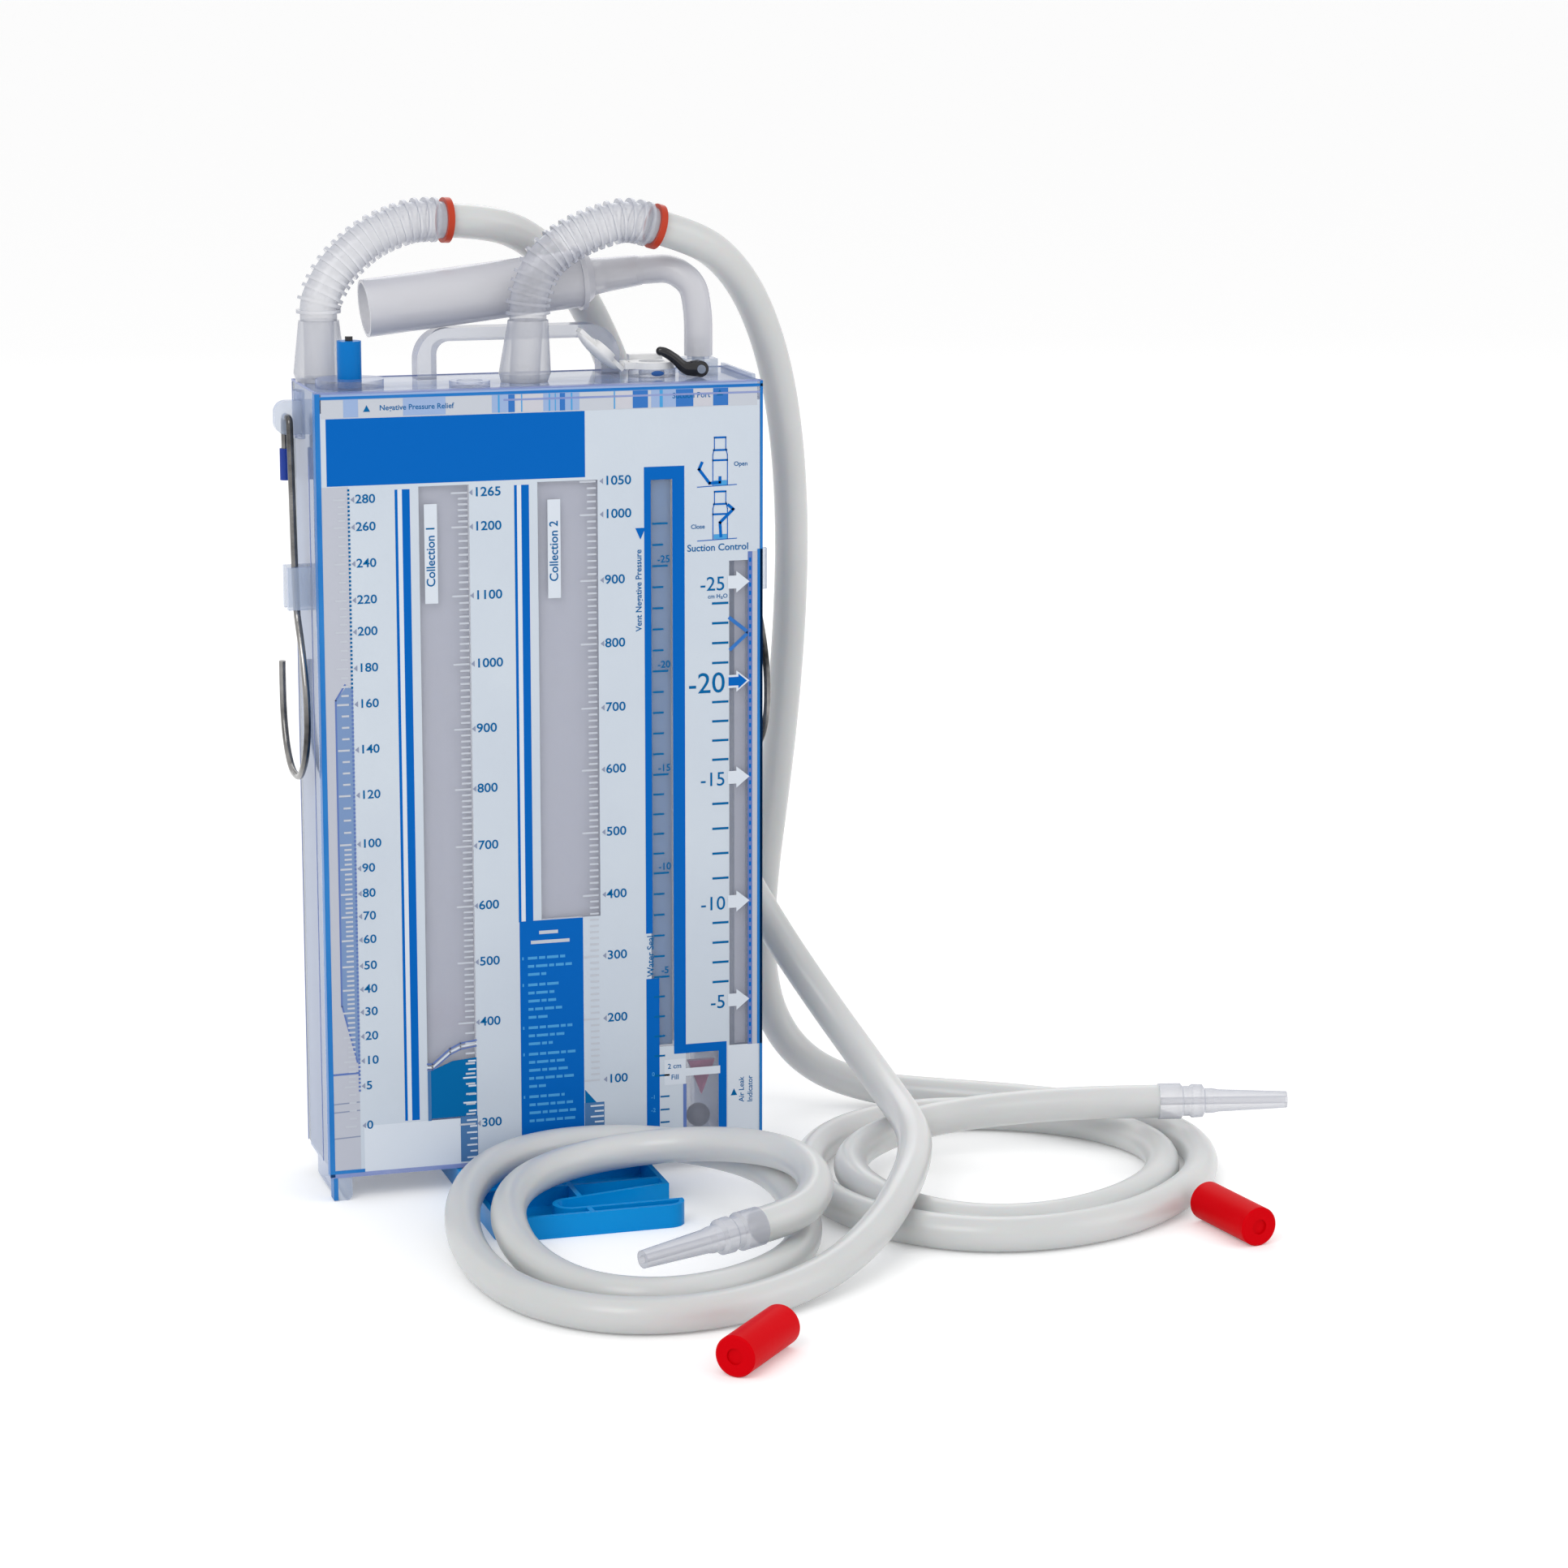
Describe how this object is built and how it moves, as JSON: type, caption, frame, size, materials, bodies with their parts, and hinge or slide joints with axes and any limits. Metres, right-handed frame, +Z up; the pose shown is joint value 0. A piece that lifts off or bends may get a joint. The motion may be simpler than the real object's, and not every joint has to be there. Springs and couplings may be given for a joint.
{
  "type": "chest drainage unit",
  "caption": "Clear box drainage unit with collection chambers, water seal and suction scale, ridged inlet sleeves, coiled patient tubes, swivel stand and wire bed hooks.",
  "frame": {"origin": "on the floor under the stand's pivot, at the middle of the housing", "axes": "+Z up, the printed front faces -Y, +X to the right as seen from the front"},
  "size_m": [0.4662, 0.4343, 0.4576],
  "materials": {
    "clear_blue": "clear blue-tinted polystyrene",
    "clear_panel": "clear polystyrene",
    "label_print": "printed film, pale blue-white with blue print",
    "clear_soft": "clear flexible vinyl",
    "milky_tube": "milky translucent tubing",
    "milky_connector": "milky translucent plastic",
    "cap_red": "satin red",
    "ring_orange": "satin orange-red",
    "stand_blue": "satin bright blue",
    "button_blue": "satin blue",
    "black_plastic": "gloss black",
    "white_plastic": "satin white",
    "wire_chrome": "bright plated",
    "hook_cap_blue": "satin dark blue",
    "indicator_pink": "pink indicator",
    "ball_dark": "dark matt ball"
  },
  "bodies": {
    "housing": {"chamber_body": "clear_blue", "front_panel": "clear_panel", "scale_label": "label_print", "leak_wedge": "indicator_pink", "carry_handle": "clear_blue", "inlet_cone_1": "clear_soft", "inlet_cone_2": "clear_soft", "spiral_sleeve_1": "clear_soft", "spiral_sleeve_2": "clear_soft", "retaining_ring_1": "ring_orange", "retaining_ring_2": "ring_orange", "patient_tube_1": "milky_tube", "patient_tube_2": "milky_tube", "tube_connector_1": "milky_connector", "tube_connector_2": "milky_connector", "red_cap_1": "cap_red", "red_cap_2": "cap_red", "relief_collar": "clear_panel", "sampling_plug": "clear_panel", "lift_stem": "clear_blue", "filler_tube": "milky_connector", "syringe_barrel": "milky_connector", "vent_ring": "clear_panel", "vent_seat": "white_plastic", "pivot_stud": "clear_blue"},
    "stand": {"floor_stand": "stand_blue"},
    "left_hook": {"hook_left": "wire_chrome", "hook_cap_left": "hook_cap_blue"},
    "right_hook": {"hook_right": "wire_chrome", "hook_cap_right": "hook_cap_blue"},
    "relief_button": {"relief_button": "button_blue", "relief_pin": "black_plastic"},
    "lever": {"suction_lever": "black_plastic"},
    "lid": {"vent_lid": "white_plastic"},
    "ball": {"float_ball": "ball_dark"}
  },
  "joints": [
    {"name": "stand_swivel", "type": "hinge", "parent": "housing", "child": "stand", "pos_m": [0, 0, 0], "axis": [0, 0, 1], "range_deg": [0, 90]},
    {"name": "left_hook_hinge", "type": "hinge", "parent": "housing", "child": "left_hook", "pos_m": [-0.109, 0.0115, 0.36], "axis": [0, 1, 0], "range_deg": [0, 180]},
    {"name": "right_hook_hinge", "type": "hinge", "parent": "housing", "child": "right_hook", "pos_m": [0.109, 0.0115, 0.36], "axis": [0, -1, 0], "range_deg": [0, 180]},
    {"name": "relief_button_slide", "type": "slide", "parent": "housing", "child": "relief_button", "axis": [0, 0, -1], "range_m": [0, 0.003], "stiffness_N_per_m": 300},
    {"name": "suction_lever_turn", "type": "hinge", "parent": "housing", "child": "lever", "pos_m": [0.08, -0.0103, 0.379], "axis": [0, 1, 0], "range_deg": [0, 90]},
    {"name": "vent_lid_hinge", "type": "hinge", "parent": "housing", "child": "lid", "pos_m": [0.0475, 0, 0.3805], "axis": [0, 1, 0], "range_deg": [0, 137]},
    {"name": "float_ball_rise", "type": "slide", "parent": "housing", "child": "ball", "axis": [0, 0, 1], "range_m": [0, 0.006]}
  ]
}
